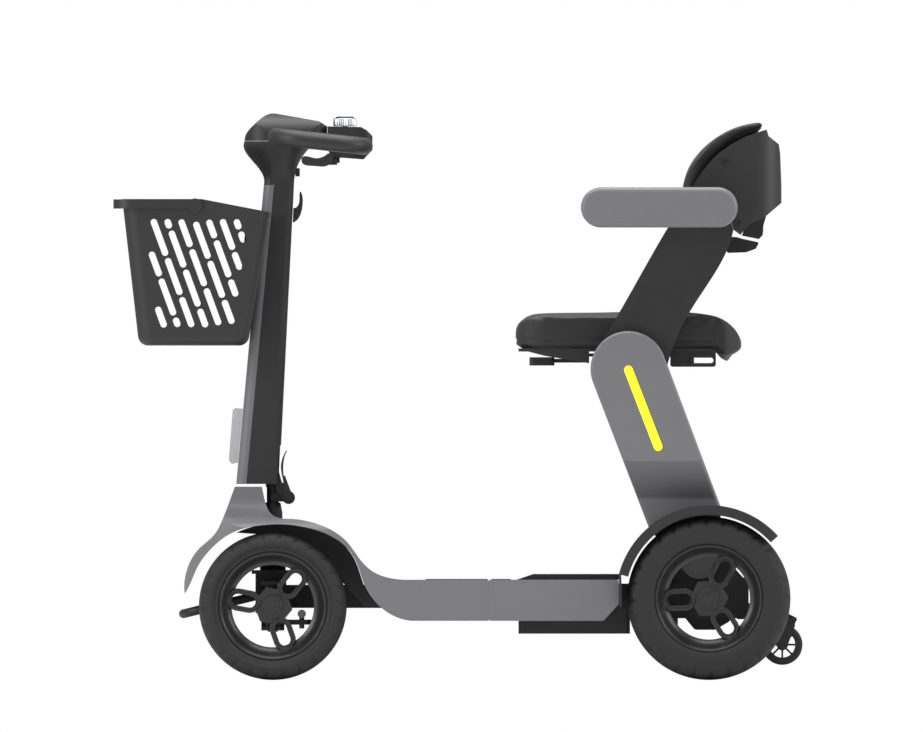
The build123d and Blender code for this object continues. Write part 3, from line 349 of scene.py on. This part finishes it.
def makeCushion(name, plan):
    form = copyNode(plan["node"])
    bmesh.ops.recalc_face_normals(form, faces=form.faces)
    form.normal_update()
    piece = addPiece(name, form, finish["seat_vinyl"], plan["body"])
    bpy.context.view_layer.objects.active = piece
    remesh = piece.modifiers.new("voxels", "REMESH")
    remesh.mode = "VOXEL"
    remesh.voxel_size = plan["voxelMm"] * mm
    bpy.ops.object.modifier_apply(modifier="voxels")
    form = bmesh.new()
    form.from_mesh(piece.data)
    for turn in range(foam["smoothings"]):
        bmesh.ops.smooth_vert(form, verts=form.verts, factor=0.5, use_axis_x=True, use_axis_y=True,
                              use_axis_z=True)
    form.normal_update()
    for vert in form.verts:
        vert.co -= vert.normal * plan["shrinkMm"] * mm
    form.to_mesh(piece.data)
    form.free()
    rest = [vert.co.copy() for vert in piece.data.vertices]
    cloth = piece.modifiers.new("foam", "CLOTH")
    cloth.settings.use_pressure = True
    cloth.settings.uniform_pressure_force = plan["pressure"]
    cloth.settings.effector_weights.gravity = 0
    cloth.settings.quality = foam["quality"]
    cloth.settings.tension_stiffness = foam["tension"]
    for step in range(1, foam["frames"] + 1):
        bpy.context.scene.frame_set(step)
    bpy.ops.object.modifier_apply(modifier="foam")
    for vert, start in zip(piece.data.vertices, rest):
        move = vert.co - start
        if move.length > plan["capMm"] * mm:
            vert.co = start + move.normalized() * plan["capMm"] * mm
    bpy.context.scene.frame_set(1)
    for face in piece.data.polygons:
        face.use_smooth = True
    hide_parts(plan["node"])
    return piece


# sinks the vinyl along a seam, by each point's distance from it
def pressSeam(piece, depthMm, widthMm, distance):
    for vert in piece.data.vertices:
        near = abs(distance(vert.co)) / (widthMm * mm)
        if near < 1:
            vert.co -= vert.normal * depthMm * mm * (1 - near * near) ** 2


seatCushion = makeCushion("seatCushion", cushions["seatCushion"])
backrestPad = makeCushion("backrestPad", cushions["backrestPad"])
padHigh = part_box("backrest_pad")[1]
# one subdivision, applied, so that the seams are finer than the voxels
for cushion in (seatCushion, backrestPad):
    bpy.context.view_layer.objects.active = cushion
    refine = cushion.modifiers.new("finer", "SUBSURF")
    refine.levels = refine.render_levels = 1
    bpy.ops.object.modifier_apply(modifier="finer")
pressSeam(seatCushion, seams["seatDepthMm"], seams["seatWidthMm"],
          lambda spot: spot.z - seams["seatHeight"] if spot.x < seams["seatRearLimit"] else 1.0)
for part in (-1, 1):
    edge = part * seams["padShare"] * padHigh.y
    pressSeam(backrestPad, seams["padDepthMm"], seams["padWidthMm"],
              lambda spot, edge=edge: spot.y - edge)
print("cushions blown up and sewn")

# tyres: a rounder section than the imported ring, with moulded cuts across both shoulders
wheelSides = {"left": -1, "right": 1}
tyres = {
    "front": {"cuts": 26, "cutDepthMm": 3.2, "cutShare": 0.26, "sidewallDropMm": 1.2},
    "rear": {"cuts": 28, "cutDepthMm": 3.4, "cutShare": 0.26, "sidewallDropMm": 1.2},
}
beadRadius = 83.9 * mm  # where the tyre sits on the rim


def tyreSection(radius, half):  # from the inner bead over the crown to the outer bead, as (across, out) pairs
    shoulder = radius - 16 * mm
    side = [(0.745 * half, 80.2 * mm), (0.75 * half, beadRadius), (0.87 * half, beadRadius + 0.4 * mm),
            (0.95 * half, beadRadius + 4 * mm), (0.985 * half, beadRadius + 9 * mm),
            (half, (beadRadius + shoulder) / 2),
            (0.99 * half, shoulder - 1 * mm)]
    crown = []
    for step in range(1, 16):
        across = math.cos(step * math.pi / 16)
        crown.append((across * half * 0.985, shoulder + (radius - shoulder) * (1 - across * across) ** 0.5))
    return [(across, out) for across, out in side] + crown + [(-across, out) for across, out in side[::-1]]


def makeTyre(axle, side, plan):
    node = axle + "_tyre_" + side
    low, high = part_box(node)
    centre = (low + high) / 2
    radius, half = (high.z - low.z) / 2, (high.y - low.y) / 2
    section = tyreSection(radius, half)
    steps = plan["cuts"] * 12
    form = bmesh.new()
    rings = []
    for step in range(steps):
        turn = step * math.tau / steps
        ring = []
        for across, out in section:
            reach = abs(across) / half
            lean = 0.35 * (reach - 0.8) * (1 if across > 0 else -1)
            phase = (step / 12 + lean + (0.5 if across > 0 else 0.0)) % 1
            if 0.5 < reach < 0.97 and out > radius - 18 * mm and phase < plan["cutShare"]:
                fall = math.sin(math.pi * phase / plan["cutShare"]) ** 0.5
                out -= plan["cutDepthMm"] * mm * fall * min(1, (reach - 0.5) / 0.2)
            ring.append(form.verts.new((centre.x + out * math.cos(turn), centre.y + across,
                                        centre.z + out * math.sin(turn))))
        rings.append(ring)
    for before, after in zip(rings, rings[1:] + rings[:1]):
        for step in range(len(section)):
            nextStep = (step + 1) % len(section)
            form.faces.new((before[step], after[step], after[nextStep], before[nextStep]))
    bmesh.ops.recalc_face_normals(form, faces=form.faces)
    tyre = addPiece(axle + side.title() + "Tyre", form, finish["tyre"], axle + "_" + side + "_wheel")
    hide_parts(node)


for axle, plan in tyres.items():
    for side in wheelSides:
        makeTyre(axle, side, plan)
print("tyres moulded")

# cast beads on the rims: a raised edge round each looped spoke and its slot, a lip and turned
# rings on the hub
rimBeads = {
    "front": {"spokeTurn": 49.5, "capMm": 15.6, "rings": (13.6, 10.4, 5.2)},
    "rear": {"spokeTurn": 62.8, "capMm": 8.0, "rings": (14.6, 6.4)},
    "loopMiddleMm": 46.0, "loopReachMm": 18.0, "loopEdgeMm": 15.6, "slotEdgeMm": 10.6,
    "faceMm": 11.0, "beadMm": 1.9,
    "hubFaceMm": 15.0, "capFaceMm": 17.0, "lipMm": 81.9, "lipFaceMm": 25.9,
}


def loopPath(centre, turn, radiusMm, y):  # a stadium round one spoke's slot
    along = Vector((math.cos(turn), 0, math.sin(turn)))
    across = Vector((-math.sin(turn), 0, math.cos(turn)))
    middle = Vector((centre.x, y, centre.z)) + along * rimBeads["loopMiddleMm"] * mm
    path = []
    for end in (1, -1):
        for step in range(13):
            swing = (step / 12 - 0.5) * math.pi
            path.append(middle + end * along * rimBeads["loopReachMm"] / 2 * mm
                        + radiusMm * mm * (end * math.cos(swing) * along + end * math.sin(swing) * across))
    return path


def circlePath(centre, radiusMm, y, steps=64):
    turns = [step * math.tau / steps for step in range(steps)]
    return [(centre.x + radiusMm * mm * math.cos(turn), y, centre.z + radiusMm * mm * math.sin(turn))
            for turn in turns]


def makeRimBeads(axle, side, sign):
    low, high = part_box(axle + "_tyre_" + side)
    centre = (low + high) / 2
    plan = rimBeads[axle]
    form = bmesh.new()
    for spoke in range(3):
        turn = math.radians(plan["spokeTurn"] + 120 * spoke)
        face = centre.y + sign * rimBeads["faceMm"] * mm
        loopEdge = loopPath(centre, turn, rimBeads["loopEdgeMm"], face)
        slotEdge = loopPath(centre, turn, rimBeads["slotEdgeMm"], face)
        tubeAlong(form, loopEdge, rimBeads["beadMm"] * mm, 10, True)
        tubeAlong(form, slotEdge, 1.2 * mm, 8, True)
    for place, radiusMm in enumerate(plan["rings"]):
        onCap = radiusMm < plan["capMm"]
        face = centre.y + sign * (rimBeads["capFaceMm"] if onCap else rimBeads["hubFaceMm"]) * mm
        tubeAlong(form, circlePath(centre, radiusMm, face), (0.9 if place else 1.2) * mm, 8, True)
    tubeAlong(form, circlePath(centre, rimBeads["lipMm"], centre.y + sign * rimBeads["lipFaceMm"] * mm, 120),
              1.5 * mm, 8, True)
    addPiece(axle + side.title() + "RimBeads", form, finish["rim_black"], axle + "_" + side + "_wheel")


for axle in ("front", "rear"):
    for side, sign in wheelSides.items():
        makeRimBeads(axle, side, sign)
print("rims beaded")

# speed dial: a chromed skirt with pinched ridges, a black top and a pointer
dial = {"node": "speed_dial", "body": "dial", "ridges": 36, "ridgeMm": 0.9, "skirtTopMm": 12.4, "topMm": 15.0}


def makeDial():
    low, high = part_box(dial["node"])
    centre = (low + high) / 2
    radius = (high.x - low.x) / 2
    foot = high.z - dial["topMm"] * mm
    form = bmesh.new()
    steps = dial["ridges"] * 6
    levels = [(0.0, 0.93, 0.0), (0.4, 0.985, 0.2), (1.2, 1.0, 1.0), (10.8, 0.985, 1.0), (12.0, 0.955, 0.4),
              (dial["skirtTopMm"], 0.88, 0.0), (dial["skirtTopMm"], 0.80, 0.0), (11.4, 0.79, 0.0)]
    path = [(centre.x, centre.y, foot + rise * mm) for rise, share, ridge in levels]

    def ring(place, index):
        rise, share, ridge = levels[index]
        points = []
        for step in range(steps):
            turn = step * math.tau / steps
            pinch = dial["ridgeMm"] * mm * ridge * (0.5 - 0.5 * math.cos(dial["ridges"] * turn))
            reach = radius * share - pinch
            points.append((place[0] + reach * math.cos(turn), place[1] + reach * math.sin(turn), place[2]))
        return points

    sweepRing(form, path, ring)
    skirt = addPiece("dialSkirt", form, finish["chrome"], dial["body"])
    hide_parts(dial["node"])
    form = bmesh.new()
    capLevels = [(11.2, 0.785), (13.6, 0.78), (14.6, 0.74), (dial["topMm"], 0.62), (14.8, 0.3), (14.7, 0.02)]
    path = [(centre.x, centre.y, foot + rise * mm) for rise, share in capLevels]

    def capRing(place, index):
        reach = radius * capLevels[index][1]
        turns = [step * math.tau / 48 for step in range(48)]
        return [(place[0] + reach * math.cos(turn), place[1] + reach * math.sin(turn), place[2])
                for turn in turns]

    sweepRing(form, path, capRing)
    addPiece("dialTop", form, finish["black_plastic"], dial["body"])
    form = bmesh.new()
    tubeAlong(form, [(centre.x - radius * share, centre.y, high.z - 0.1 * mm) for share in (0.3, 0.45, 0.6)],
              0.9 * mm, 8)
    addPiece("dialPointer", form, finish["lamp_silver"], dial["body"])


makeDial()
print("dial knurled")

# studio: pale floor, white room light and a camera level with the seat, square to the rider's left side
studio = {
    "floor": "#F2F2F2", "floorHalf": 14.0, "frameWidth": 1.4353, "lookX": 0.0054, "lookZ": 0.4883,
    "away": 6.0,
    "fill": 0.42,
    "lamps": {
        "topSoftbox": ((0.0, -0.2, 2.6), (0, 0, 0), 2.4, 75),
        "leftSoftbox": ((-2.4, -1.6, 1.3), (math.radians(82), 0, math.radians(-58)), 1.4, 30),
        "rightSoftbox": ((2.6, -0.8, 1.4), (math.radians(80), 0, math.radians(74)), 1.4, 26),
    },
}


def makeStudio():
    form = bmesh.new()
    bmesh.ops.create_grid(form, x_segments=2, y_segments=2, size=studio["floorHalf"])
    mesh = bpy.data.meshes.new("studioFloor")
    form.to_mesh(mesh)
    form.free()
    floor = bpy.data.objects.new("studioFloor", mesh)
    bpy.context.collection.objects.link(floor)
    material, tree, shader, place = startMaterial("paperSweep", studio["floor"], 0.9)
    mesh.materials.append(material)
    # seen as white, but lights the scooter more softly than it looks
    world = bpy.data.worlds.new("whiteRoom")
    world.use_nodes = True
    tree = world.node_tree
    background = tree.nodes["Background"]
    background.inputs["Color"].default_value = (1.0, 1.0, 1.0, 1.0)
    seen = addNode(tree, "ShaderNodeLightPath").outputs["Is Camera Ray"]
    strength = addNode(tree, "ShaderNodeMapRange", inputs={"To Min": studio["fill"], "To Max": 1.0},
                       links={"Value": seen})
    tree.links.new(strength.outputs["Result"], background.inputs["Strength"])
    scene = bpy.context.scene
    scene.world = world
    scene.view_settings.view_transform = "Standard"
    for name, (spot, turn, size, power) in studio["lamps"].items():
        light = bpy.data.lights.new(name, "AREA")
        light.size = size
        light.energy = power
        lamp = bpy.data.objects.new(name, light)
        lamp.location = spot
        lamp.rotation_euler = turn
        scene.collection.objects.link(lamp)
    lens = bpy.data.cameras.new("sideLens")
    lens.type = "ORTHO"
    lens.ortho_scale = studio["frameWidth"]
    lens.clip_end = 60
    camera = bpy.data.objects.new("sideCamera", lens)
    camera.location = (studio["lookX"], -studio["away"], studio["lookZ"])
    camera.rotation_euler = (math.radians(90), 0, 0)
    scene.collection.objects.link(camera)
    scene.camera = camera


makeStudio()
print("studio ready")
